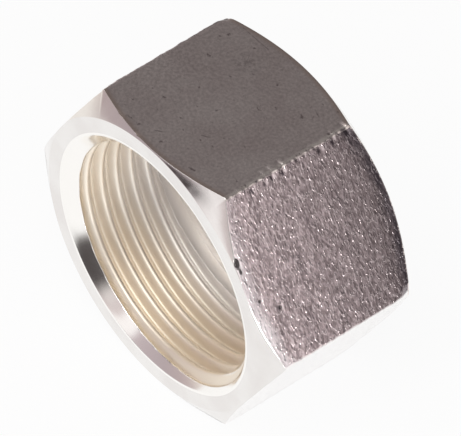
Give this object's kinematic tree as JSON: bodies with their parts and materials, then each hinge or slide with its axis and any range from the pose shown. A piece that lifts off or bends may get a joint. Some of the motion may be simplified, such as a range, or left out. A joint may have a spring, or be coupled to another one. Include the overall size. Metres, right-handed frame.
{
  "type": "union nut",
  "caption": "Hexagon union nut with a fine internal thread, a seat cone and a tube bore, lying on one flat.",
  "frame": {"origin": "on the nut's axis, half way along its length", "axes": "+Y along the axis, from the threaded mouth to the tube side; +Z square to the top flat; the nut lies on the opposite flat"},
  "size_m": [0.0408, 0.02, 0.0356],
  "materials": {
    "steel": "stainless steel, forged flats with a fine rough grain, turned ends, thread silver plated"
  },
  "bodies": {
    "root": {"union_nut": "steel"}
  },
  "joints": []
}
